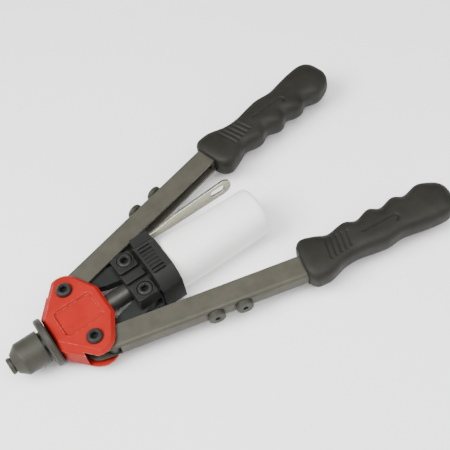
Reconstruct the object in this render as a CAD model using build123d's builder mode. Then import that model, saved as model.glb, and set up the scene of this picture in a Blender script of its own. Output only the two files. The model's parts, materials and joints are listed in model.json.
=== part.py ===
from build123d import *
from math import asin, cos, degrees, hypot, radians, sin
import os

# Long-arm hand riveter with a mandrel collecting bottle, arms closed.
# Frame: X runs along the tool from the nosepiece's front face (0) to the handles, Y across, +Z out of
# the face of the red head. The tool's axis is the X axis. Millimetres.

os.makedirs("parts", exist_ok=True)

# ---------------------------------------------------------------- driving dimensions
# head
pivot_x = 72.0              # both arm pivots
pivot_y = 27.5              # arm pivot either side of the tool axis
ear_radius = 16.5           # housing round a pivot
nose_edge_x = 42.0          # housing front edge
nose_edge_half = 18.0
ear_corner_x = pivot_x - 11.6    # where the straight shoulders meet the ears
ear_corner_y = pivot_y + 12.0
ear_rear_x_offset = 13.4    # from a pivot to where its ear runs into the rear edge's slope
ear_rear_y_offset = 9.6
rear_edge_x = 97.5
rear_edge_half = 15.0
outline_corner = 5.0
housing_half = 13.5         # outer face above the middle plane
plate_thickness = 4.0
rim_slope = 3.0             # chamfered rim of the shells
rim_fold = 0.8              # softened fold between face and rim
shoulder_slope = 6.0        # flats between the nose edge and the ears
wall_thickness = 2.6
wall_end_x = 57.0           # side walls stop here so that the arms can swing
seam_z = -housing_half + plate_thickness
panel_x = pivot_x - 1.0
panel_length = 34.0
panel_width = 26.0
panel_corner = 3.0
panel_depth = 1.9
panel_slope = 1.5           # sloped border of the panel

# barrel, collar and nosepiece
barrel_radius = 15.0
barrel_front_x = 4.5
barrel_rear_x = 33.0
barrel_cone_x = 11.5
barrel_cone_radius = 9.5
barrel_bore = 10.6
barrel_edge = 0.4
barrel_front_edge = 0.8
collar_radius = 22.5
collar_front_x = 35.0
collar_rear_x = 41.6
collar_rim = 1.5
spigot_radius = 12.5        # thread of the head block that carries collar and barrel
spigot_front_x = 24.0
block_length = 20.0
block_half_width = 15.6
block_corner = 2.0
nose_head_radius = 7.6
nose_head_length = 3.2
nose_neck_radius = 7.0
nose_edge = 0.8             # rounded front edge
nose_shank_radius = 5.0
nose_cone_x = 12.0          # the shank's end cone starts here
nose_length = 14.0
nose_tail_radius = 3.4      # opens the jaws
mandrel_hole = 2.3

# draw tube and jaws
tube_radius = 8.5
tube_bore = 3.4
case_front_x = 27.4
case_rear_x = 58.0
case_thread_x = 50.0        # the draw tube screws into the case from here
case_thread_radius = 6.5
jaw_front_x = 29.0
jaw_rear_x = 40.0
jaw_front_radius = 4.2
jaw_rear_radius = 5.9
jaw_bore = 1.5
jaw_gap = 0.08              # jaws against the cone of their case
pusher_head_x = 43.0
pusher_rear_x = 48.8
pusher_stem_radius = 2.9
spring_rear_x = 47.6        # leaves the jaws their 2 mm of float
spring_turns = 3
spring_wire = 0.55
spring_mean_radius = 4.3
tube_rear_x = 147.0
tube_spigot_radius = 6.5
tube_nut_flats = 17.0
tube_nut_height = 4.2
tube_nut_seat = 2.2         # behind the crosshead, on the holder's floor
tube_edge = 0.6
case_mouth_radius = 3.0
case_edge = 1.2
jaw_sweep = 112.0           # each of the three jaws round the axis
pusher_bore = 1.8
pusher_edge = 0.9
slide_gap = 0.05            # running clearance of the draw tube in the head block

# crosshead and bottle
ear_screw_x = pivot_x + 56.3
ear_screw_y = 17.2
crosshead_front_x = 117.6
ear_rear_x = 137.0
crosshead_rear_x = 139.4
ear_half = 25.6
ear_inner = 7.4
ear_corner = 2.4
ear_edge = 0.8
ear_top = 18.0
groove_floor = 14.5
link_slot_half = 4.6
core_half = 8.9
rib_half = 4.2
holder_rear_x = 159.5
holder_half = 26.6
holder_top = 25.6
bottle_radius = 24.0
bottle_end_radius = 23.0
bottle_end_x = 254.0
bottle_wall = 1.6
bottle_corner = 5.0

# arms (in the arm's own frame: s along the arm from its pivot, t outwards)
arm_angle = 14.3            # from the tool axis, arms closed
arm_inner_t = -7.2
arm_outer_t = 13.6
arm_half = 7.6
arm_sheet = 2.5
arm_bend = 3.4
arm_front_radius = 12.4
arm_shoulder_s = 6.0        # the outer side reaches its full width here
web_start_s = 16.5
channel_end_s = 206.0
tang_end_s = 292.0
tang_slope = -0.115         # the tang leans inwards with the grip
tang_half = 6.0
tang_start_s = channel_end_s - 24.0
tang_root = 1.0             # sideways shift of the tang's root
tang_drop = 3.0             # its end lies this much further inwards
open_angle = 52.0           # travel of each arm
spare_s = (100.5, 125.5)    # spare nosepieces along the arm

# toggle link
crank_length = 13.0
crank_angle = 44.0          # from the tool axis, arms closed
crank_pin_radius = 3.0
link_half = 4.0
link_front_radius = 6.0
link_rear_radius = 7.5
slot_gap = 0.5              # round the ear screw, along the link
slot_travel = 1.6           # sideways float of the ear screw
slot_shift = -0.7
link_belly = [(30.0, -11.0), (19.0, -11.4), (15.0, -4.8), (0.0, -4.8)]    # inner side of the link

# fasteners (M8 button heads)
screw_radius = 4.0
screw_chamfer = 0.6
head_radius = 7.0
head_height = 3.4
head_rim = 0.9              # straight rim below the dome
head_flat_radius = 5.2
socket_flats = 6.0
socket_depth = 5.0
socket_mouth_radius = 3.9   # round mouth above the hexagon
socket_mouth_depth = 1.0
nut_flats = 13.0
nut_height = 5.0
bush_radius = 5.0
washer_radius = 8.0

# gaps
washer_gap = 0.3            # washers clear of the arms
seat_gap = 0.02             # touching faces and threads
turning_gap = 0.05          # turning fits
screw_gap = 0.1             # screw holes in the shells
rest_gap = 0.05             # jaws, pusher, spring and spanner beside what holds them

arm_frame = Plane(
    origin=(pivot_x, pivot_y, 0),
    x_dir=(cos(radians(arm_angle)), sin(radians(arm_angle)), 0),
    z_dir=(0, 0, 1),
)
tube_axis = Plane(origin=(0, 0, 0), x_dir=(0, 1, 0), z_dir=(1, 0, 0))
crank_x = pivot_x + crank_length * cos(radians(crank_angle))
crank_y = pivot_y + crank_length * sin(radians(crank_angle))
link_length = hypot(ear_screw_x - crank_x, ear_screw_y - crank_y)
link_frame = Plane(
    origin=(crank_x, crank_y, 0),
    x_dir=(ear_screw_x - crank_x, ear_screw_y - crank_y, 0),
    z_dir=(0, 0, 1),
)


def save(part, name):
    """Label a finished piece and write it as one STEP file."""
    part.label = name
    export_step(part, f"parts/{name}.step")


def across(name, upper):
    """Write a piece of the upper side and its mirror image below the tool axis."""
    with BuildPart() as lower:
        add(upper)
        mirror(about=Plane.XZ, mode=Mode.REPLACE)
    save(upper, f"upper_{name}")
    save(lower.part, f"lower_{name}")


def ring_profile(points):
    """Close a half profile given as (x, radius) pairs, ready to turn round the tool axis."""
    with BuildSketch(Plane.XY, mode=Mode.PRIVATE) as profile:
        with BuildLine():
            Polyline(*points, close=True)
        make_face()
    return profile.sketch


# ---------------------------------------------------------------- head: housing shells
def housing_outline():
    """Outline of the red head: two ears, a short nose edge and a straight rear edge."""
    with BuildSketch(Plane.XY, mode=Mode.PRIVATE) as outline:
        with BuildLine():
            Polyline(
                (nose_edge_x, -nose_edge_half),
                (nose_edge_x, nose_edge_half),
                (ear_corner_x, ear_corner_y),
                (pivot_x + ear_rear_x_offset, pivot_y + ear_rear_y_offset),
                (rear_edge_x, rear_edge_half),
                (rear_edge_x, -rear_edge_half),
                (pivot_x + ear_rear_x_offset, -pivot_y - ear_rear_y_offset),
                (ear_corner_x, -ear_corner_y),
                close=True,
            )
        make_face()
        with Locations((pivot_x, pivot_y), (pivot_x, -pivot_y)):
            Circle(ear_radius)
        fillet(outline.vertices().filter_by(lambda v: v.X < nose_edge_x + 1), outline_corner)
        fillet(outline.vertices().filter_by(lambda v: v.X > rear_edge_x - 1), outline_corner)
    return outline.sketch


outline = housing_outline()

with BuildPart() as housing_front:
    with BuildSketch(Plane.XY.offset(housing_half - plate_thickness)):
        add(outline)
    extrude(amount=plate_thickness)
    chamfer(housing_front.faces().sort_by(Axis.Z)[-1].edges(), rim_slope)
    fillet(housing_front.faces().sort_by(Axis.Z)[-1].edges(), rim_fold)
    # the side walls run from the nose edge to the ears and reach back to the rear shell
    with BuildSketch(Plane.XY.offset(seam_z + seat_gap)):
        add(outline)
        offset(outline, amount=-wall_thickness, mode=Mode.SUBTRACT)
        with Locations((wall_end_x, 0)):
            Rectangle(120, 120, align=(Align.MIN, Align.CENTER), mode=Mode.SUBTRACT)
        with Locations((nose_edge_x, 0)):
            Rectangle(8, 2 * spigot_radius + 3, mode=Mode.SUBTRACT)
    extrude(amount=housing_half - plate_thickness - seam_z)
    # broad flats slope down from the face to the side walls
    for side in (1, -1):
        edge_x = ear_corner_x - nose_edge_x
        edge_y = side * (ear_corner_y - nose_edge_half)
        shoulder = Plane(
            origin=(nose_edge_x, side * nose_edge_half, housing_half - shoulder_slope),
            x_dir=(edge_x, edge_y, 0),
            z_dir=(-side * edge_y, side * edge_x, hypot(edge_x, edge_y)),
        )
        with BuildSketch(shoulder):
            Rectangle(200, 200)
        extrude(amount=30, mode=Mode.SUBTRACT)
    # blank recessed panel between the pivots
    with BuildSketch(Plane.XY.offset(housing_half)):
        with Locations((panel_x, 0)):
            RectangleRounded(panel_length, panel_width, panel_corner)
    extrude(amount=-panel_depth, mode=Mode.SUBTRACT)
    panel_border = [
        e
        for e in housing_front.edges()
        if abs(e.center().Z - housing_half) < 0.01
        and abs(e.center().X - panel_x) < panel_length / 2 + 0.1
        and abs(e.center().Y) < panel_width / 2 + 0.1
    ]
    chamfer(panel_border, panel_slope)
    with BuildSketch(Plane.XY):
        with Locations((pivot_x, pivot_y), (pivot_x, -pivot_y)):
            Circle(screw_radius + screw_gap)
    extrude(amount=40, both=True, mode=Mode.SUBTRACT)
save(housing_front.part, "housing_front")

with BuildPart() as housing_rear:
    with BuildSketch(Plane.XY.offset(-housing_half)):
        add(outline)
    extrude(amount=plate_thickness)
    chamfer(housing_rear.faces().sort_by(Axis.Z)[0].edges(), rim_slope)
    fillet(housing_rear.faces().sort_by(Axis.Z)[0].edges(), rim_fold)
    with BuildSketch(Plane.XY):
        with Locations((pivot_x, pivot_y), (pivot_x, -pivot_y)):
            Circle(screw_radius + screw_gap)
    extrude(amount=-40, mode=Mode.SUBTRACT)
save(housing_rear.part, "housing_rear")

# ---------------------------------------------------------------- head: block, collar, barrel
block_half = housing_half - plate_thickness - seat_gap

with BuildPart() as head_block:
    with BuildSketch(tube_axis.offset(nose_edge_x + wall_thickness + 0.1)):
        RectangleRounded(2 * block_half_width, 2 * block_half, block_corner)
    extrude(amount=block_length)
    # neck through the opening in the nose wall, then the threaded spigot
    with BuildSketch(tube_axis.offset(nose_edge_x - 0.3)):
        RectangleRounded(2 * spigot_radius, 2 * block_half, 6.0)
    extrude(amount=wall_thickness + 1)
    with BuildSketch(tube_axis.offset(spigot_front_x)):
        Circle(spigot_radius)
    extrude(amount=nose_edge_x - 0.2 - spigot_front_x)
    with BuildSketch(tube_axis.offset(spigot_front_x)):
        Circle(tube_radius + slide_gap)
    extrude(amount=60, mode=Mode.SUBTRACT)
save(head_block.part, "head_block")

with BuildPart() as lock_collar:
    with BuildSketch(tube_axis.offset(collar_front_x)):
        Circle(collar_radius)
    extrude(amount=collar_rear_x - collar_front_x)
    outer = lock_collar.edges().filter_by(GeomType.CIRCLE)
    chamfer(outer, collar_rim)
    with BuildSketch(tube_axis.offset(collar_front_x - 1)):
        Circle(spigot_radius + seat_gap)
    extrude(amount=20, mode=Mode.SUBTRACT)
save(lock_collar.part, "lock_collar")

barrel_wall_points = [
    (barrel_front_x, nose_shank_radius + seat_gap),
    (barrel_front_x, barrel_cone_radius - barrel_front_edge),
    (barrel_front_x + barrel_front_edge, barrel_cone_radius),
    (barrel_cone_x, barrel_radius - barrel_edge),
    (barrel_cone_x + 1.0, barrel_radius),
    (barrel_rear_x - barrel_edge, barrel_radius),
    (barrel_rear_x, barrel_radius - barrel_edge),
    (barrel_rear_x, spigot_radius + seat_gap),
    (spigot_front_x, spigot_radius + seat_gap),
    (spigot_front_x, barrel_bore),
    (barrel_cone_x + 1.0, barrel_bore),
    (barrel_cone_x + 1.0, nose_shank_radius + seat_gap),
]
with BuildPart() as barrel:
    add(ring_profile(barrel_wall_points))
    revolve(axis=Axis.X, revolution_arc=360)
save(barrel.part, "barrel")


def nosepiece_points():
    """Half profile of a nosepiece: rounded head, slimmer neck and threaded shank with a coned end."""
    head = nose_head_radius
    shank = nose_shank_radius
    return [
        (0, mandrel_hole),
        (0, head - 1.5 * nose_edge),
        (0.35 * nose_edge, head - 0.5 * nose_edge),
        (nose_edge, head),
        (nose_head_length, head),
        (nose_head_length, nose_neck_radius),
        (barrel_front_x - seat_gap, nose_neck_radius),
        (barrel_front_x - seat_gap, shank),
        (nose_cone_x, shank),
        (nose_length, nose_tail_radius),
        (nose_length, mandrel_hole),
    ]


with BuildPart() as nosepiece:
    add(ring_profile(nosepiece_points()))
    revolve(axis=Axis.X, revolution_arc=360)
save(nosepiece.part, "nosepiece")

# ---------------------------------------------------------------- arm pivots
head_seat = housing_half + seat_gap


def button_screw(length):
    """Button-head screw standing on the XY plane, head up, shank down."""
    with BuildPart(mode=Mode.PRIVATE) as screw:
        with BuildSketch(Plane.XZ):
            with BuildLine():
                Polyline(
                    (0, -length),
                    (screw_radius - screw_chamfer, -length),
                    (screw_radius, -length + screw_chamfer),
                    (screw_radius, 0),
                    (head_radius, 0),
                    (head_radius, head_rim),
                )
                ThreePointArc(
                    (head_radius, head_rim),
                    (head_radius - 0.6, head_height - 1.0),
                    (head_flat_radius, head_height),
                )
                Polyline(
                    (head_flat_radius, head_height),
                    (socket_mouth_radius, head_height),
                    (socket_mouth_radius, head_height - socket_mouth_depth),
                    (0, head_height - socket_mouth_depth),
                    (0, -length),
                )
            make_face()
        revolve(axis=Axis.Z, revolution_arc=360)
        with BuildSketch(Plane.XY.offset(head_height)):
            RegularPolygon(socket_flats / 2, 6, major_radius=False)
        extrude(amount=-socket_depth, mode=Mode.SUBTRACT)
    return screw.part


pivot_points = [(pivot_x, side * pivot_y) for side in (1, -1)]

with BuildPart() as pivot_screws:
    pivot_screw = button_screw(2 * housing_half + nut_height + 1.5)
    with Locations(*[(x, y, head_seat) for x, y in pivot_points]):
        add(pivot_screw)
save(pivot_screws.part, "pivot_screws")

with BuildPart() as pivot_nuts:
    with BuildSketch(Plane.XY.offset(-housing_half - seat_gap)):
        with Locations(*pivot_points):
            RegularPolygon(nut_flats / 2, 6, major_radius=False)
            Circle(screw_radius + seat_gap, mode=Mode.SUBTRACT)
    extrude(amount=-nut_height)
save(pivot_nuts.part, "pivot_nuts")

bush_half = housing_half - plate_thickness - seat_gap
with BuildPart() as pivot_bushes:
    with BuildSketch(Plane.XY.offset(-bush_half)):
        with Locations(*pivot_points):
            Circle(bush_radius)
            Circle(screw_radius + seat_gap, mode=Mode.SUBTRACT)
    extrude(amount=2 * bush_half)
save(pivot_bushes.part, "pivot_bushes")

with BuildPart() as pivot_washers:
    for level in (arm_half + washer_gap, -bush_half):
        with BuildSketch(Plane.XY.offset(level)):
            with Locations(*pivot_points):
                Circle(washer_radius)
                Circle(bush_radius + seat_gap, mode=Mode.SUBTRACT)
        extrude(amount=bush_half - arm_half - washer_gap)
save(pivot_washers.part, "pivot_washers")

# ---------------------------------------------------------------- arms
with BuildPart() as arm:
    # outside of the pressed channel
    with BuildSketch(arm_frame.offset(-arm_half)):
        Circle(arm_front_radius)
        Polygon(
            (0, arm_inner_t),
            (0, arm_front_radius),
            (arm_shoulder_s, arm_outer_t),
            (channel_end_s, arm_outer_t),
            (channel_end_s, arm_inner_t),
            align=None,
        )
    extrude(amount=2 * arm_half)
    outer_line = [
        e
        for e in arm.edges().filter_by(lambda e: e.length > 150)
        if abs((e.center() - arm_frame.origin).dot(arm_frame.y_dir) - arm_outer_t) < 0.1
    ]
    fillet(outer_line, arm_bend)
    # hollow of the channel, open inwards; the web is cut back round the link's end
    with BuildSketch(arm_frame.offset(-arm_half + arm_sheet)):
        with Locations((web_start_s, -40)):
            Rectangle(300, 40 + arm_outer_t - arm_sheet, align=(Align.MIN, Align.MIN))
        with Locations((-40, -40)):
            Rectangle(40 + web_start_s, 80, align=(Align.MIN, Align.MIN))
    extrude(amount=2 * (arm_half - arm_sheet), mode=Mode.SUBTRACT)
    # tang that carries the grip
    with BuildSketch(arm_frame.offset(-arm_half + arm_sheet)):
        with BuildLine():
            lean = tang_slope * (tang_end_s - channel_end_s)
            Polyline(
                (tang_start_s, -tang_half + tang_root),
                (tang_start_s, tang_half + tang_root),
                (tang_end_s, tang_half - tang_drop + lean),
                (tang_end_s, -tang_half - tang_drop + lean),
                close=True,
            )
        make_face()
    extrude(amount=2 * (arm_half - arm_sheet))
    # bush, crank pin and spare nosepiece holes
    crank_s = crank_length * cos(radians(crank_angle - arm_angle))
    crank_t = crank_length * sin(radians(crank_angle - arm_angle))
    with BuildSketch(arm_frame):
        Circle(bush_radius + turning_gap)
        with Locations((crank_s, crank_t)):
            Circle(crank_pin_radius + seat_gap)
    extrude(amount=20, both=True, mode=Mode.SUBTRACT)
    for s in spare_s:
        spare_axis = Plane(
            origin=arm_frame.from_local_coords((s, 0, 0)),
            x_dir=(0, 0, 1),
            z_dir=arm_frame.y_dir,
        )
        with BuildSketch(spare_axis):
            Circle(nose_shank_radius + seat_gap)
        extrude(amount=30, mode=Mode.SUBTRACT)
across("arm", arm.part)

with BuildPart() as crank_pin:
    with BuildSketch(Plane(origin=(crank_x, crank_y, -arm_half))):
        Circle(crank_pin_radius)
    extrude(amount=2 * arm_half)
across("crank_pin", crank_pin.part)

# spare nosepieces screwed into the outer side of each arm
for number, s in enumerate(spare_s, start=1):
    spare_seat = Plane(
        origin=arm_frame.from_local_coords((s, arm_outer_t + barrel_front_x, 0)),
        x_dir=-arm_frame.y_dir,
        z_dir=(0, 0, 1),
    )
    seated = spare_seat.location * nosepiece.part
    with BuildPart() as spare:
        add(seated)
    across(f"spare_nosepiece_{number}", spare.part)

# ---------------------------------------------------------------- grips
# Outline in the arm's frame: outer edge, domed end, then the four finger bays on the inner edge.
grip_front_s = 184.0
grip_end_s = 330.0
grip_half = 13.0
grip_edge = 2.6
grip_mouth_t = (-20.5, 17.5)
outer_edge = [(190, 20.5), (202, 20.0), (219, 12.4), (238, 9.4), (256, 9.8), (278, 5.4), (300, 6.2)]
end_cap = [(313, 5.6), (324, 2.0), (grip_end_s, -8.0), (grip_end_s, -20.0), (324, -31.0)]
finger_bays = [(306.5, -34.2), (290, -28.9), (282, -30.9), (266, -25.5), (257.5, -27.9), (242, -22.1),
               (233, -24.1), (214, -19.2), (203, -21.2), (193, -22.8)]
with BuildPart() as grip:
    with BuildSketch(arm_frame.offset(-grip_half)):
        with BuildLine():
            edge = Spline(*outer_edge, *end_cap, *finger_bays)
            Polyline(edge @ 1, (grip_front_s, grip_mouth_t[0]), (grip_front_s, grip_mouth_t[1]), edge @ 0)
        make_face()
    extrude(amount=2 * grip_half)
    fillet(grip.faces().filter_by(Axis.Z).edges(), grip_edge)
    # the grip is moulded round the arm
    add(arm.part, mode=Mode.SUBTRACT)
    with BuildSketch(arm_frame.offset(-arm_half)):
        with Locations((grip_front_s - 5, arm_inner_t)):
            Rectangle(channel_end_s - grip_front_s + 5.2, arm_outer_t - arm_inner_t,
                      align=(Align.MIN, Align.MIN))
    extrude(amount=2 * arm_half, mode=Mode.SUBTRACT)
across("grip", grip.part)

# ---------------------------------------------------------------- toggle links
with BuildPart() as link:
    with BuildSketch(link_frame.offset(-link_half)):
        with BuildLine():
            Polyline(
                (0, link_front_radius),
                (link_length, link_rear_radius),
                (link_length, -link_rear_radius),
                *link_belly,
                close=True,
            )
        make_face()
        Circle(link_front_radius)
        with Locations((link_length, 0)):
            Circle(link_rear_radius)
        Circle(crank_pin_radius + turning_gap, mode=Mode.SUBTRACT)
        # opened pivot: the ear screw floats sideways in this slot
        with Locations((link_length, slot_shift)):
            SlotOverall(2 * (screw_radius + slot_gap) + slot_travel, 2 * (screw_radius + slot_gap),
                        rotation=90, mode=Mode.SUBTRACT)
    extrude(amount=2 * link_half)
across("link", link.part)

# ---------------------------------------------------------------- draw tube and jaws
tube_points = [
    (case_thread_x + seat_gap, tube_bore),
    (case_thread_x + seat_gap, case_thread_radius - seat_gap),
    (case_rear_x + seat_gap, case_thread_radius - seat_gap),
    (case_rear_x + seat_gap, tube_radius),
    (crosshead_front_x - seat_gap, tube_radius),
    (crosshead_front_x - seat_gap, tube_spigot_radius),
    (tube_rear_x - tube_edge, tube_spigot_radius),
    (tube_rear_x, tube_spigot_radius - tube_edge),
    (tube_rear_x, tube_bore),
]
with BuildPart() as draw_tube:
    add(ring_profile(tube_points))
    revolve(axis=Axis.X, revolution_arc=360)
save(draw_tube.part, "draw_tube")

jaw_slope = (jaw_rear_radius - jaw_front_radius) / (jaw_rear_x - jaw_front_x)
cone_front_x = jaw_front_x - 0.5
cone_rear_x = jaw_rear_x + 2.2
cone_front_radius = jaw_front_radius + jaw_gap + jaw_slope * (cone_front_x - jaw_front_x)
cone_rear_radius = jaw_rear_radius + jaw_gap + jaw_slope * (cone_rear_x - jaw_rear_x)
case_points = [
    (case_front_x, case_mouth_radius),
    (case_front_x, tube_radius - case_edge),
    (case_front_x + case_edge, tube_radius),
    (case_rear_x, tube_radius),
    (case_rear_x, case_thread_radius),
    (cone_rear_x, case_thread_radius),
    (cone_rear_x, cone_rear_radius),
    (cone_front_x, cone_front_radius),
    (cone_front_x, case_mouth_radius),
]
with BuildPart() as jaw_case:
    add(ring_profile(case_points))
    revolve(axis=Axis.X, revolution_arc=360)
save(jaw_case.part, "jaw_case")

jaw_points = [
    (jaw_front_x, jaw_bore),
    (jaw_front_x, jaw_front_radius),
    (jaw_rear_x, jaw_rear_radius),
    (jaw_rear_x, jaw_bore),
]
for number in range(3):
    with BuildPart() as jaw:
        add(ring_profile(jaw_points).rotate(Axis.X, 120 * number - jaw_sweep / 2))
        revolve(axis=Axis.X, revolution_arc=jaw_sweep)
    save(jaw.part, f"jaw_{number + 1}")

pusher_points = [
    (jaw_rear_x + rest_gap, pusher_bore),
    (jaw_rear_x + rest_gap, jaw_rear_radius - pusher_edge),
    (jaw_rear_x + rest_gap + pusher_edge, jaw_rear_radius),
    (pusher_head_x, jaw_rear_radius),
    (pusher_head_x, pusher_stem_radius),
    (pusher_rear_x, pusher_stem_radius),
    (pusher_rear_x, pusher_bore),
]
with BuildPart() as jaw_pusher:
    add(ring_profile(pusher_points))
    revolve(axis=Axis.X, revolution_arc=360)
save(jaw_pusher.part, "jaw_pusher")

spring_length = spring_rear_x - pusher_head_x - 2 * spring_wire - 2 * rest_gap
spring_start = (pusher_head_x + spring_wire + rest_gap, 0, 0)
with BuildPart() as jaw_spring:
    with BuildLine():
        coil = Helix(spring_length / spring_turns, spring_length, spring_mean_radius,
                     center=spring_start, direction=(1, 0, 0))
    with BuildSketch(Plane(origin=coil @ 0, z_dir=coil % 0)):
        Circle(spring_wire)
    sweep(is_frenet=True)
save(jaw_spring.part, "jaw_spring")

with BuildPart() as tube_nut:
    with BuildSketch(tube_axis.offset(crosshead_rear_x + tube_nut_seat)):
        RegularPolygon(tube_nut_flats / 2, 6, major_radius=False)
        Circle(tube_spigot_radius + seat_gap, mode=Mode.SUBTRACT)
    extrude(amount=tube_nut_height)
save(tube_nut.part, "tube_nut")

# ---------------------------------------------------------------- crosshead
screw_points = [(ear_screw_x, side * ear_screw_y) for side in (1, -1)]
boss_top = ear_top + 0.8
boss_radius = head_radius + 1.3
head_recess = 2.4
head_side_gap = 0.15
nut_recess = head_recess + 1.6
nut_side_gap = 0.1
flange_step = 1.5

with BuildPart() as crosshead_half:
    # plate above the link slot
    with BuildSketch(Plane.XY.offset(link_slot_half)):
        with Locations((crosshead_front_x, 0)):
            Rectangle(ear_rear_x - crosshead_front_x, 2 * ear_half,
                      align=(Align.MIN, Align.CENTER))
    extrude(amount=groove_floor - link_slot_half)
    # two square ears and the rib between them stand on the plate
    ear_length = ear_rear_x - crosshead_front_x
    ear_centre_x = (ear_rear_x + crosshead_front_x) / 2
    ear_width = ear_half - ear_inner
    with BuildSketch(Plane.XY.offset(groove_floor)):
        with Locations((ear_centre_x, ear_inner + ear_width / 2),
                       (ear_centre_x, -ear_inner - ear_width / 2)):
            RectangleRounded(ear_length, ear_width, ear_corner)
        with Locations((ear_centre_x, 0)):
            Rectangle(ear_length, 2 * rib_half)
    extrude(amount=ear_top - groove_floor)
    fillet(crosshead_half.faces().group_by(Axis.Z)[-1].edges(), ear_edge)
    with BuildSketch(Plane.XY.offset(ear_top)):
        with Locations(*screw_points):
            Circle(boss_radius)
    extrude(amount=boss_top - ear_top)
    # core between the links and the flange behind the ears
    with BuildSketch(Plane.XY):
        with Locations((crosshead_front_x, 0)):
            Rectangle(ear_length, 2 * core_half, align=(Align.MIN, Align.CENTER))
    extrude(amount=groove_floor)
    with BuildSketch(tube_axis.offset(ear_rear_x)):
        with Locations((0, groove_floor / 2)):
            Rectangle(2 * (ear_half - flange_step), groove_floor)
    extrude(amount=crosshead_rear_x - ear_rear_x)

with BuildPart() as crosshead:
    add(crosshead_half.part)
    mirror(about=Plane.XY)
    with BuildSketch(Plane.XY):
        with Locations(*screw_points):
            Circle(screw_radius + seat_gap)
    extrude(amount=40, both=True, mode=Mode.SUBTRACT)
    with BuildSketch(Plane.XY.offset(boss_top)):
        with Locations(*screw_points):
            Circle(head_radius + head_side_gap)
    extrude(amount=-head_recess, mode=Mode.SUBTRACT)
    with BuildSketch(Plane.XY.offset(-boss_top)):
        with Locations(*screw_points):
            RegularPolygon(nut_flats / 2 + nut_side_gap, 6, major_radius=False)
    extrude(amount=nut_recess, mode=Mode.SUBTRACT)
    with BuildSketch(tube_axis.offset(crosshead_front_x - 1)):
        Circle(tube_spigot_radius + seat_gap)
    extrude(amount=40, mode=Mode.SUBTRACT)
save(crosshead.part, "crosshead")

with BuildPart() as ear_screws:
    ear_screw = button_screw(2 * boss_top - head_recess - 0.4)
    with Locations(*[(x, y, boss_top - head_recess + seat_gap) for x, y in screw_points]):
        add(ear_screw)
save(ear_screws.part, "ear_screws")

with BuildPart() as ear_nuts:
    with BuildSketch(Plane.XY.offset(-boss_top + nut_recess - seat_gap)):
        with Locations(*screw_points):
            RegularPolygon(nut_flats / 2, 6, major_radius=False)
            Circle(screw_radius + seat_gap, mode=Mode.SUBTRACT)
    extrude(amount=-nut_height + 0.6)
save(ear_nuts.part, "ear_nuts")

# ---------------------------------------------------------------- bottle holder and bottle
holder_floor = 2.0
holder_edge = 0.5
holder_radius = 29.5        # round section cut flat at the sides, top and bottom
holder_bore = bottle_radius + 0.1
rib_count = 7
rib_pitch = 4.0
rib_width = 2.0
rib_front_x = 141.4
rib_length = 12.0
shallow_groove = 0.9        # over the thin middle of the wall
deep_groove = 1.7
pocket_y = (22.0, 31.4)
pocket_z = (6.4, 20.0)
pocket_wall = 0.6           # left behind the pocket
spanner_y = (26.9, 29.3)
spanner_tail_x = rib_front_x + 5.0
spanner_slit = 7.8          # height of the slit the spanner leaves by
spanner_slit_z = (pocket_z[0] + pocket_z[1]) / 2 - 0.2

with BuildPart() as bottle_holder:
    with BuildSketch(tube_axis.offset(crosshead_rear_x + seat_gap)):
        Circle(holder_radius)
        Rectangle(2 * holder_half, 2 * holder_top, mode=Mode.INTERSECT)
    extrude(amount=holder_rear_x - crosshead_rear_x)
    fillet(bottle_holder.faces().sort_by(Axis.X)[-1].edges(), holder_edge)
    # pocket for the spanner on the upper side
    with BuildSketch(Plane.XY.offset(pocket_z[0])):
        with Locations((rib_front_x, pocket_y[0])):
            Rectangle(holder_rear_x - rib_front_x - pocket_wall, pocket_y[1] - pocket_y[0],
                      align=(Align.MIN, Align.MIN))
    extrude(amount=pocket_z[1] - pocket_z[0])
    with BuildSketch(tube_axis.offset(crosshead_rear_x + holder_floor)):
        Circle(holder_bore)
    extrude(amount=40, mode=Mode.SUBTRACT)
    with BuildSketch(tube_axis.offset(crosshead_rear_x - 1)):
        Circle(tube_spigot_radius + seat_gap)
    extrude(amount=10, mode=Mode.SUBTRACT)
    # finger ribs on the broad faces, cut between as shallow grooves
    for number in range(rib_count + 1):
        y = (number - rib_count / 2) * rib_pitch
        with BuildSketch(Plane.XY.offset(holder_top + 1)):
            with Locations((rib_front_x + rib_length / 2, y)):
                SlotOverall(rib_length, rib_pitch - rib_width)
        groove_depth = shallow_groove if abs(y) < 2 * rib_pitch else deep_groove
        extrude(amount=-1 - groove_depth, mode=Mode.SUBTRACT)
    with BuildSketch(tube_axis.offset(spanner_tail_x - 0.4)):
        with Locations((spanner_y[0] - rest_gap, spanner_slit_z)):
            Rectangle(spanner_y[1] - spanner_y[0] + 2 * rest_gap, spanner_slit, align=(Align.MIN, Align.CENTER))
    extrude(amount=30, mode=Mode.SUBTRACT)
save(bottle_holder.part, "bottle_holder")

bottle_front_x = crosshead_rear_x + holder_floor + 0.6


def cup_profile(grow, front_x):
    """Half profile of the bottle, moved inwards by grow from the outer surface."""
    end = bottle_end_x - grow
    radius = bottle_corner - grow
    with BuildSketch(Plane.XY, mode=Mode.PRIVATE) as profile:
        with BuildLine():
            Polyline((front_x, 0), (front_x, bottle_radius - grow), (holder_rear_x, bottle_radius - grow),
                     (end - radius, bottle_end_radius - grow))
            ThreePointArc(
                (end - radius, bottle_end_radius - grow),
                (end - radius + radius * sin(radians(45)),
                 bottle_end_radius - grow - radius * (1 - cos(radians(45)))),
                (end, bottle_end_radius - grow - radius),
            )
            Polyline((end, bottle_end_radius - grow - radius), (end, 0), (front_x, 0))
        make_face()
    return profile.sketch


with BuildPart() as bottle:
    add(cup_profile(0, bottle_front_x))
    revolve(axis=Axis.X, revolution_arc=360)
    add(cup_profile(bottle_wall, bottle_front_x - 5))
    revolve(axis=Axis.X, revolution_arc=360, mode=Mode.SUBTRACT)
save(bottle.part, "bottle")

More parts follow.
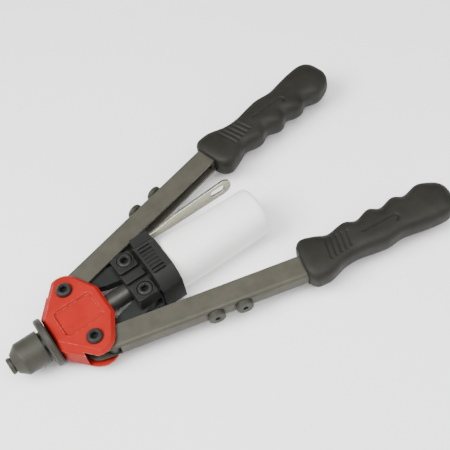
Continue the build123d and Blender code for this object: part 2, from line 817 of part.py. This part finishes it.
# ---------------------------------------------------------------- spanner for the nosepieces
eye_x = 232.0
eye_z = 18.3
eye_ring = 8.6
eye_end_x = eye_x + 5.5
neck_x = 164.0              # the blade widens from here to the eye
blade_x = 188.0
with BuildPart() as spanner:
    with BuildSketch(Plane(origin=(0, spanner_y[1], 0), x_dir=(1, 0, 0), z_dir=(0, -1, 0))):
        with BuildLine():
            Polyline((spanner_tail_x, 9.4), (spanner_tail_x, 16.6), (neck_x, 16.9), (blade_x, 22.2))
            Line((blade_x, 22.2), (eye_end_x, eye_z + eye_ring))
            ThreePointArc(
                (eye_end_x, eye_z + eye_ring),
                (eye_end_x + eye_ring, eye_z),
                (eye_end_x, eye_z - eye_ring),
            )
            Polyline((eye_end_x, eye_z - eye_ring), (blade_x, 8.4), (neck_x, 9.3), (spanner_tail_x, 9.4))
        make_face()
        with Locations((eye_x, eye_z)):
            SlotOverall(15.0, 8.0, mode=Mode.SUBTRACT)
    extrude(amount=spanner_y[1] - spanner_y[0])
    fillet(spanner.edges().filter_by(lambda e: abs(e.center().Y - spanner_y[0]) < 0.01), 0.5)
save(spanner.part, "spanner")

crank_open = radians(crank_angle + open_angle)
open_rise = pivot_y + crank_length * sin(crank_open) - ear_screw_y
open_x = pivot_x + crank_length * cos(crank_open) + (link_length**2 - open_rise**2) ** 0.5
closed_tilt = degrees(asin((crank_y - ear_screw_y) / link_length))
open_tilt = degrees(asin(open_rise / link_length))
print("draw stroke", round(ear_screw_x - open_x, 3), "mm; link turns", round(open_tilt - closed_tilt, 3))
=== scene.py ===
import json
from math import cos, pi, radians, sin

import bmesh
import bpy
import numpy as np
from mathutils import Matrix, Vector


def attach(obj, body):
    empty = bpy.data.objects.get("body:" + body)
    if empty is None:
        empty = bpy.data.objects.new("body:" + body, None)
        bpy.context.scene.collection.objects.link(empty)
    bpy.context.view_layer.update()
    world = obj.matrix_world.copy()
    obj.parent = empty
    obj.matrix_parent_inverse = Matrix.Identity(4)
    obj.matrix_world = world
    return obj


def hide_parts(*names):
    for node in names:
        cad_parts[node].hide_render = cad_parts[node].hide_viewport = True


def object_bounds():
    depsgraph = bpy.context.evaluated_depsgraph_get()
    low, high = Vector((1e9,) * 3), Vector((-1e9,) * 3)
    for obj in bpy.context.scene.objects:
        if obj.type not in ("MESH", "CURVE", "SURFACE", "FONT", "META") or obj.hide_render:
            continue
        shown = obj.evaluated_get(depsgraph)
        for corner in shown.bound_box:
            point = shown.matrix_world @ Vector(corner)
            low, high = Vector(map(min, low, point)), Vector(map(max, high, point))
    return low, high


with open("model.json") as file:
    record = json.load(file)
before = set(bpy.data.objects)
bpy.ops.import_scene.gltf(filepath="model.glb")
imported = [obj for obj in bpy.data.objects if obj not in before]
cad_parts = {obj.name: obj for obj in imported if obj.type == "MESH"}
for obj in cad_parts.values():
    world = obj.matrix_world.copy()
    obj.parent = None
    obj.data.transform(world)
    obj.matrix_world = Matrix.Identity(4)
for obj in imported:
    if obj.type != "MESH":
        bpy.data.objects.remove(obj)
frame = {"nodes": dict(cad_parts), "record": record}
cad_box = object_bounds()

MM = 0.001
nodes = frame["nodes"]


# ------------------------------------------------------------------ materials
class Finish:
    """One procedural material under construction, in object coordinates."""

    def __init__(self, name):
        self.mat = bpy.data.materials.new(name)
        self.mat.use_nodes = True
        self.tree = self.mat.node_tree
        self.shader = self.tree.nodes["Principled BSDF"]
        self.place = self.tree.nodes.new("ShaderNodeTexCoord").outputs["Object"]

    def link(self, a, b):
        self.tree.links.new(a, b)

    def noise(self, scale, detail=4.0, rough=0.55, stretch=None):
        node = self.tree.nodes.new("ShaderNodeTexNoise")
        node.inputs["Scale"].default_value = scale
        node.inputs["Detail"].default_value = detail
        node.inputs["Roughness"].default_value = rough
        place = self.place
        if stretch:
            mapping = self.tree.nodes.new("ShaderNodeMapping")
            mapping.inputs["Scale"].default_value = stretch
            self.link(place, mapping.inputs["Vector"])
            place = mapping.outputs["Vector"]
        self.link(place, node.inputs["Vector"])
        return node.outputs["Fac"]

    def ramp(self, value, stops):
        """stops: (position, (r, g, b)) pairs."""
        node = self.tree.nodes.new("ShaderNodeValToRGB")
        ramp = node.color_ramp
        while len(ramp.elements) < len(stops):
            ramp.elements.new(0.5)
        for element, (position, colour) in zip(ramp.elements, stops):
            element.position = position
            element.color = (*colour, 1.0)
        self.link(value, node.inputs["Fac"])
        return node.outputs["Color"]

    def blend(self, factor, a, b):
        node = self.tree.nodes.new("ShaderNodeMix")
        node.data_type = "RGBA"
        self.link(factor, node.inputs[0])
        for socket, value in ((node.inputs[6], a), (node.inputs[7], b)):
            if isinstance(value, tuple):
                socket.default_value = (*value, 1.0)
            else:
                self.link(value, socket)
        return node.outputs[2]

    def times(self, a, b):
        node = self.tree.nodes.new("ShaderNodeMix")
        node.data_type = "RGBA"
        node.blend_type = "MULTIPLY"
        node.inputs[0].default_value = 1.0
        self.link(a, node.inputs[6])
        self.link(b, node.inputs[7])
        return node.outputs[2]

    def spread(self, value, low, high):
        node = self.tree.nodes.new("ShaderNodeMapRange")
        node.inputs["From Min"].default_value = 0.3
        node.inputs["From Max"].default_value = 0.7
        node.inputs["To Min"].default_value = low
        node.inputs["To Max"].default_value = high
        self.link(value, node.inputs["Value"])
        return node.outputs["Result"]

    def round_edges(self, radius):
        """Shades the sharp edges of the metal as small rounded ones."""
        node = self.tree.nodes.new("ShaderNodeBevel")
        node.samples = 6
        node.inputs["Radius"].default_value = radius
        self.link(node.outputs["Normal"], self.shader.inputs["Normal"])
        self.rounded = node.outputs["Normal"]

    def wear_and_highlight_edges(self, colour, wear_and_highlight, amount=0.7):
        """Lets a lighter colour through along the edges, broken up by noise: partly edge wear, partly a painted
        highlight where the edges catch the light.
        """
        geometry = self.tree.nodes.new("ShaderNodeNewGeometry")
        facing = self.tree.nodes.new("ShaderNodeVectorMath")
        facing.operation = "DOT_PRODUCT"
        self.link(self.rounded, facing.inputs[0])
        self.link(geometry.outputs["Normal"], facing.inputs[1])
        edge = self.ramp(facing.outputs["Value"], [(0.86, (amount,) * 3), (0.985, (0, 0, 0))])
        patch = self.ramp(self.noise(260), [(0.40, (0.15, 0.15, 0.15)), (0.62, (1, 1, 1))])
        return self.blend(self.times(edge, patch), colour, wear_and_highlight)

    def painted_recess_shade(self, colour, reach, depth):
        """Darkens a colour in grooves, sockets and joints narrower than reach: painted shade where the light
        falls off in them.
        """
        node = self.tree.nodes.new("ShaderNodeAmbientOcclusion")
        node.samples = 8
        node.inputs["Distance"].default_value = reach
        shade = self.ramp(node.outputs["AO"], [(0.25, (1 - depth,) * 3), (0.85, (1, 1, 1))])
        return self.times(colour, shade)

    def bump(self, value, distance, strength=0.5):
        node = self.tree.nodes.new("ShaderNodeBump")
        node.inputs["Distance"].default_value = distance
        node.inputs["Strength"].default_value = strength
        self.link(value, node.inputs["Height"])
        previous = self.shader.inputs["Normal"]
        if previous.is_linked:
            self.link(previous.links[0].from_socket, node.inputs["Normal"])
        self.link(node.outputs["Normal"], self.shader.inputs["Normal"])

    def set(self, **values):
        for key, value in values.items():
            self.shader.inputs[key.replace("_", " ")].default_value = value

    def colour(self, value):
        self.link(value, self.shader.inputs["Base Color"])

    def roughness(self, value):
        self.link(value, self.shader.inputs["Roughness"])


def shades(base, spread):
    """A darker and a lighter shade of one colour."""
    return tuple(c * (1 - spread) for c in base), tuple(c * (1 + spread) for c in base)


def coated_metal(name, base, wear_and_highlight, metallic, rough, grain=1400, stretch=None, edge=0.0004, specular=0.4,
                 shade_reach=0.003, shade_depth=0.8):
    """Gunmetal, black casting or plating: mottled tone, fine grain, lighter edges that are partly wear and
    partly painted highlight, painted shade in recesses.
    """
    f = Finish(name)
    f.round_edges(edge)
    dark, light = shades(base, 0.10)
    mottle = f.ramp(f.noise(70, stretch=stretch), [(0.36, dark), (0.64, light)])
    # lighter edges: partly wear, partly painted highlight; darkening in recesses: painted shade
    f.colour(f.painted_recess_shade(f.wear_and_highlight_edges(mottle, wear_and_highlight), shade_reach, shade_depth))
    f.roughness(f.spread(f.noise(160, stretch=stretch), rough - 0.05, rough + 0.07))
    f.bump(f.noise(grain, 2.0, stretch=stretch), 0.00005, 0.30)
    f.set(Metallic=metallic, Specular_IOR_Level=specular)
    return f


red = Finish("red_paint_finish")
red.round_edges(0.0006)
red_tone = red.ramp(red.noise(38), [(0.35, (0.240, 0.0120, 0.0090)), (0.65, (0.290, 0.016, 0.012))])
# the pale edge colour is a painted highlight line along the paint's edges; the darkening in recesses is painted
# shade
red.colour(red.painted_recess_shade(red.wear_and_highlight_edges(red_tone, (0.80, 0.30, 0.24), 0.9), 0.0040, 0.9))
red.roughness(red.spread(red.noise(180), 0.32, 0.42))
red.bump(red.noise(420, 2.0), 0.00006, 0.2)
red.set(Coat_Weight=0.04, Coat_Roughness=0.16, Specular_IOR_Level=0.015)

gunmetal = coated_metal("gunmetal_finish", (0.036, 0.035, 0.0275), (0.12, 0.115, 0.095), 0.1, 0.52,
                       specular=0.2)
arm_steel = coated_metal("arm_steel_finish", (0.055, 0.052, 0.040), (0.12, 0.115, 0.095), 0.1, 0.50,
                         specular=0.2)
link_steel = coated_metal("link_steel_finish", (0.015, 0.017, 0.015), (0.05, 0.05, 0.046), 0.2, 0.50,
                          specular=0.2)
casting = coated_metal("black_casting_finish", (0.0125, 0.0125, 0.0118), (0.085, 0.085, 0.080), 0.0, 0.55, 900,
                       specular=0.18)
# the deep recess darkening paints shade into the screw sockets so they look black
screws = coated_metal("black_screw_finish", (0.024, 0.024, 0.022), (0.085, 0.085, 0.080), 0.2, 0.42,
                      specular=0.20, shade_reach=0.005, shade_depth=0.96)
zinc = coated_metal("zinc_finish", (0.40, 0.40, 0.41), (0.55, 0.55, 0.55), 0.9, 0.38)
steel = coated_metal("ground_steel_finish", (0.040, 0.040, 0.034), (0.13, 0.13, 0.12), 0.55, 0.42)
jaw_steel = coated_metal("jaw_steel_finish", (0.22, 0.22, 0.22), (0.38, 0.38, 0.38), 0.9, 0.38)
wire = coated_metal("spring_wire_finish", (0.28, 0.28, 0.29), (0.42, 0.42, 0.42), 0.9, 0.33, edge=0.0001)
nickel = coated_metal("nickel_finish", (0.52, 0.50, 0.41), (0.80, 0.78, 0.70), 1.0, 0.26,
                      stretch=(0.3, 3.0, 3.0), edge=0.0004, specular=0.5)
holder = coated_metal("black_plastic_finish", (0.0120, 0.0120, 0.0114), (0.075, 0.075, 0.072), 0.0, 0.58, 700,
                      specular=0.18)

rubber = Finish("grip_rubber_finish")
rubber.round_edges(0.0005)
rubber_tone = rubber.ramp(rubber.noise(48), [(0.35, (0.0130, 0.0127, 0.0103)), (0.65, (0.0175, 0.0170, 0.0140))])
# the darkening in the moulded lines and round the mouth is painted shade
rubber.colour(rubber.painted_recess_shade(rubber_tone, 0.003, 0.7))
rubber.roughness(rubber.spread(rubber.noise(150), 0.50, 0.62))
rubber.bump(rubber.noise(1100, 3.0), 0.00010, 0.35)
rubber.bump(rubber.noise(90, 2.0), 0.0003, 0.10)
rubber.set(Specular_IOR_Level=0.15)

plastic = Finish("white_plastic_finish")
plastic.colour(plastic.ramp(plastic.noise(30), [(0.35, (0.90, 0.870, 0.845)), (0.65, (0.94, 0.910, 0.885))]))
plastic.roughness(plastic.spread(plastic.noise(140), 0.38, 0.50))
plastic.bump(plastic.noise(60, 2.0), 0.0003, 0.10)
plastic.set(Subsurface_Weight=0.25, Subsurface_Scale=0.006)

finishes = {
    "red_paint": red, "dark_steel": gunmetal, "arm_steel": arm_steel, "link_steel": link_steel,
    "black_casting": casting, "black_plastic": holder, "grip_rubber": rubber, "white_plastic": plastic,
    "nickel_steel": nickel, "black_screws": screws, "zinc_nuts": zinc, "bright_steel": steel,
    "jaw_steel": jaw_steel, "spring_steel": wire,
}
slot_of = {entry["node"]: entry["material_slot"] for entry in frame["record"]["subparts"]}
for name, node in nodes.items():
    for slot in node.material_slots:
        slot.material = finishes[slot_of[name]].mat


# ------------------------------------------------------------------ grips
PIVOT_X, PIVOT_Y = 72.0, 27.5
ARM_ANGLE = radians(14.3)


def smooth_line(points):
    """A function through (s, value) points with no corners, level at its highs and lows (cubic Hermite)."""
    s = np.array([p[0] for p in points], float)
    v = np.array([p[1] for p in points], float)
    slope = np.gradient(v, s)
    step = np.diff(v)
    slope[1:-1][step[:-1] * step[1:] <= 0] = 0

    def at(x):
        i = int(np.clip(np.searchsorted(s, x) - 1, 0, len(s) - 2))
        h = s[i + 1] - s[i]
        u = min(max((x - s[i]) / h, 0.0), 1.0)
        return ((2 * u**3 - 3 * u**2 + 1) * v[i] + (u**3 - 2 * u**2 + u) * h * slope[i]
                + (3 * u**2 - 2 * u**3) * v[i + 1] + (u**3 - u**2) * h * slope[i + 1])

    return at


# palm side and finger side of the grip, as distances from the arm's centre line, in millimetres
palm_side = smooth_line([(184, 19.6), (192, 21.2), (202, 20.2), (219, 12.4), (238, 9.4), (256, 9.8),
                         (278, 5.4), (300, 6.0), (313, 5.2), (330, 2.0)])
finger_side = smooth_line([(184, -21.6), (193, -22.8), (203, -21.2), (214, -19.2), (233, -24.1), (242, -22.1),
                           (257.5, -27.9), (266, -25.5), (282, -30.9), (290, -28.9), (306.5, -34.2),
                           (318, -32.4), (330, -28.0)])
half_depth = smooth_line([(184, 12.6), (196, 12.9), (222, 11.6), (256, 12.8), (284, 12.2), (312, 12.9),
                          (330, 12.0)])
GRIP_FRONT, GRIP_END = 184.0, 329.7
LIP, LIP_ON_DEPTH, CAP, CAP_POWER = 8.0, 0.4, 16.0, 2.8
AROUND = 280
GRIP_POWER, MOUTH_POWER = 3.4, 9.0            # squareness of the grip's section and of its mouth
MOUTH_RINGS = ((191.0, 0.35), (185.0, 0.45), (GRIP_FRONT + 0.25, 0.9))    # s, gap round the arm
LINES_START, LINES_END = 205.0, 281.0
ARM_MIDDLE, ARM_HALF_WIDTH, ARM_HALF_DEPTH = 3.2, 10.4, 7.6
BAYS, BAY_HALF, BAY_SCOOP = (214.0, 242.0, 266.0, 290.0, 318.0), 7.0, 2.4
RIB_FIRST, RIB_STEP, RIB_COUNT, RIB_SLANT = 209.0, 5.0, 5, 0.10
RIB_FINGER_T, RIB_PALM_T, RIB_SHORTER = -11.5, 8.0, 1.4
RIB_WIDTH, RIB_DEPTH = 2.2, 0.9
HOOK_START, HOOK_END, HOOK_T, HOOK_LEAN, HOOK_RADIUS = 242.5, 273.5, -5.4, -0.15, 3.0
HOOK_WIDTH, HOOK_DEPTH = 1.9, 1.2
FLAT_FROM, FLAT_BLEND = 0.80, 0.12            # the lines fade out where the broad faces curve away


def section(s):
    """Middle, half width and half depth of the grip at s."""
    outer, inner, depth = palm_side(s), finger_side(s), half_depth(s)
    middle, half = (outer + inner) / 2, (outer - inner) / 2
    if s > GRIP_END - CAP:
        u = (s - GRIP_END + CAP) / CAP
        full = max(1 - u**CAP_POWER, 0) ** (1 / CAP_POWER)
        half, depth = half * full, depth * full
    if s < GRIP_FRONT + LIP:
        u = 1 - (s - GRIP_FRONT) / LIP
        pull = LIP * (1 - (1 - u * u) ** 0.5)
        half, depth = half - pull, depth - pull * LIP_ON_DEPTH
    return middle, half, depth


def groove(distance, width, depth):
    """Depth of a round-bottomed groove at a distance from its line."""
    return depth * np.exp(-(distance / (0.5 * width)) ** 4)


def groove_depth(s, t, turn):
    """How far the moulded lines sink into a broad face; turn is the way its hook turns, 1 to the palm."""
    deep = 0.0
    for number in range(RIB_COUNT):
        at = RIB_FIRST + number * RIB_STEP
        palm_end = RIB_PALM_T - number * RIB_SHORTER
        past = max(t - palm_end, RIB_FINGER_T - t, 0)
        slanted = abs(s - at + RIB_SLANT * t)
        deep = max(deep, groove(float(np.hypot(slanted, past)), RIB_WIDTH, RIB_DEPTH))
    along = min(max(s, HOOK_START), HOOK_END)
    line_t = HOOK_T + HOOK_LEAN * (along - HOOK_START)
    deep = max(deep, groove(float(np.hypot(s - along, t - line_t)), HOOK_WIDTH, HOOK_DEPTH))
    # the far end turns in a small hook
    centre_t = HOOK_T + HOOK_LEAN * (HOOK_END - HOOK_START) + turn * HOOK_RADIUS
    ds, dt = s - HOOK_END, t - centre_t
    if ds > -0.5:
        deep = max(deep, groove(abs(float(np.hypot(ds, dt)) - HOOK_RADIUS), HOOK_WIDTH, HOOK_DEPTH))
    return deep


def scoop_depth(s, a):
    """How far the broad faces fall away beside each finger bay; a runs from -1 (fingers) to 1 (palm)."""
    near = min(max((-a - 0.15) / 0.7, 0.0), 1.0)
    if near == 0:
        return 0.0
    return BAY_SCOOP * near * near * max(float(np.exp(-((s - at) / BAY_HALF) ** 2)) for at in BAYS)


def to_row(s, t, z, side):
    """From the arm's frame in millimetres to the row frame in metres."""
    x = (PIVOT_X + s * cos(ARM_ANGLE) - t * sin(ARM_ANGLE)) * MM
    y = (PIVOT_Y + s * sin(ARM_ANGLE) + t * cos(ARM_ANGLE)) * MM
    return Vector((x, side * y, z * MM))


def squared(angle, power):
    """A point of a rounded rectangle, spaced evenly across its broad faces and closer at its ends."""
    a = cos(angle)
    b = (1 - abs(a) ** power) ** (1 / power)
    return a, b if sin(angle) >= 0 else -b


def stations():
    """Closer together where the moulded lines are."""
    front = [GRIP_FRONT + LIP * u for u in (0.0, 0.02, 0.06, 0.12, 0.2, 0.3, 0.42, 0.56, 0.72, 0.86, 1.0)]
    plain = list(np.arange(GRIP_FRONT + LIP + 1, LINES_START, 1.2))
    fine = list(np.arange(LINES_START, LINES_END, 0.45))
    rest = list(np.arange(LINES_END, GRIP_END - 4, 1.0))
    end = [GRIP_END - 3.6 * (1 - u) ** 2 for u in (0.0, 0.15, 0.3, 0.45, 0.6, 0.72, 0.83, 0.92, 0.97)]
    return front + plain + fine + rest + end


def build_grip(name, side):
    bm = bmesh.new()
    rings = []
    # the mouth: a recess that leaves a dark line round the arm
    for s, grow in MOUTH_RINGS:
        ring = []
        for k in range(AROUND):
            a, b = squared(2 * pi * (k + 0.5) / AROUND, MOUTH_POWER)
            ring.append(bm.verts.new(to_row(s, ARM_MIDDLE + a * (ARM_HALF_WIDTH + grow),
                                            b * (ARM_HALF_DEPTH + grow), side)))
        rings.append(ring)
    for s in stations():
        middle, half, depth = section(s)
        depth_scale = half_depth(s)
        ring = []
        for k in range(AROUND):
            a, b = squared(2 * pi * (k + 0.5) / AROUND, GRIP_POWER)
            t, z = middle + a * half, b * depth
            flat = min(max((abs(b) - FLAT_FROM) / FLAT_BLEND, 0.0), 1.0)
            if flat > 0 and LINES_START < s < LINES_END:
                face = 1 if z > 0 else -1
                # one moulding fits both arms, so the hook turns opposite ways on its two faces
                z -= face * flat * groove_depth(s, t, -side * face)
            z *= 1 - scoop_depth(s, a) / depth_scale
            ring.append(bm.verts.new(to_row(s, t, z, side)))
        rings.append(ring)
    for a, b in zip(rings, rings[1:]):
        for k in range(AROUND):
            m = (k + 1) % AROUND
            bm.faces.new((a[k], a[m], b[m], b[k]))
    bm.faces.new(rings[0])
    bm.faces.new(rings[-1])
    bmesh.ops.recalc_face_normals(bm, faces=bm.faces)
    mesh = bpy.data.meshes.new(name)
    bm.to_mesh(mesh)
    bm.free()
    mesh.shade_smooth()
    mesh.materials.append(rubber.mat)
    piece = bpy.data.objects.new(name, mesh)
    bpy.context.collection.objects.link(piece)
    return piece


for word, side in (("upper", 1), ("lower", -1)):
    grip = build_grip(f"{word}_moulded_grip", side)
    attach(grip, f"{word}_lever")
    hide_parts(f"{word}_grip")

# ------------------------------------------------------------------ floor, lights, camera
FLOOR_HALF = 4.0
floor_z = cad_box[0][2] - 0.4 * MM
bm = bmesh.new()
bmesh.ops.create_grid(bm, x_segments=8, y_segments=8, size=FLOOR_HALF)
floor_mesh = bpy.data.meshes.new("floor")
bm.to_mesh(floor_mesh)
bm.free()
floor = bpy.data.objects.new("floor", floor_mesh)
floor.location = (0.2, 0, floor_z)
bpy.context.collection.objects.link(floor)
paper = Finish("floor_paper")
paper.colour(paper.ramp(paper.noise(3), [(0.4, (0.95, 0.95, 0.95)), (0.6, (0.97, 0.97, 0.97))]))
paper.set(Roughness=0.9)
floor_mesh.materials.append(paper.mat)

AIM = Vector((0.222, 0.0047, 0))
AZIMUTH, ELEVATION, ROLL = radians(-23.16), radians(55.68), radians(12.94)
DISTANCE, LENS, SENSOR = 0.850, 76.4, 36.0
forward = Vector((-sin(AZIMUTH) * cos(ELEVATION), cos(AZIMUTH) * cos(ELEVATION), -sin(ELEVATION)))
level = Vector((cos(AZIMUTH), sin(AZIMUTH), 0))
upright = level.cross(forward)
cam_right = cos(ROLL) * level - sin(ROLL) * upright
cam_up = sin(ROLL) * level + cos(ROLL) * upright


def frame_matrix(x_axis, y_axis, z_axis, at):
    m = Matrix((x_axis, y_axis, z_axis)).transposed().to_4x4()
    m.translation = at
    return m


def soft_light(name, at, power, size):
    data = bpy.data.lights.new(name, "AREA")
    data.energy = power
    data.shape = "SQUARE"
    data.size = size
    lamp = bpy.data.objects.new(name, data)
    lamp.location = at
    lamp.rotation_euler = (AIM - Vector(at)).to_track_quat("-Z", "Y").to_euler()
    bpy.context.collection.objects.link(lamp)


# all three stand well away from the direction in which a flat top face mirrors the camera
KEY, FILL, TOP = 48, 14, 34
soft_light("key", AIM + Vector((-1.0, 0.1, 1.3)), KEY, 0.9)
soft_light("fill", AIM + Vector((0.9, -0.9, 1.0)), FILL, 1.1)
soft_light("top", AIM + Vector((-0.1, -0.5, 1.6)), TOP, 1.1)

AMBIENT = 0.3
world = bpy.data.worlds.new("studio")
world.use_nodes = True
world.node_tree.nodes["Background"].inputs["Color"].default_value = (1, 1, 1, 1)
world.node_tree.nodes["Background"].inputs["Strength"].default_value = AMBIENT
bpy.context.scene.world = world

camera_data = bpy.data.cameras.new("camera")
camera_data.lens = LENS
camera_data.sensor_width = SENSOR
camera = bpy.data.objects.new("camera", camera_data)
camera.matrix_world = frame_matrix(cam_right, cam_up, -forward, AIM - DISTANCE * forward)
bpy.context.collection.objects.link(camera)
bpy.context.scene.camera = camera
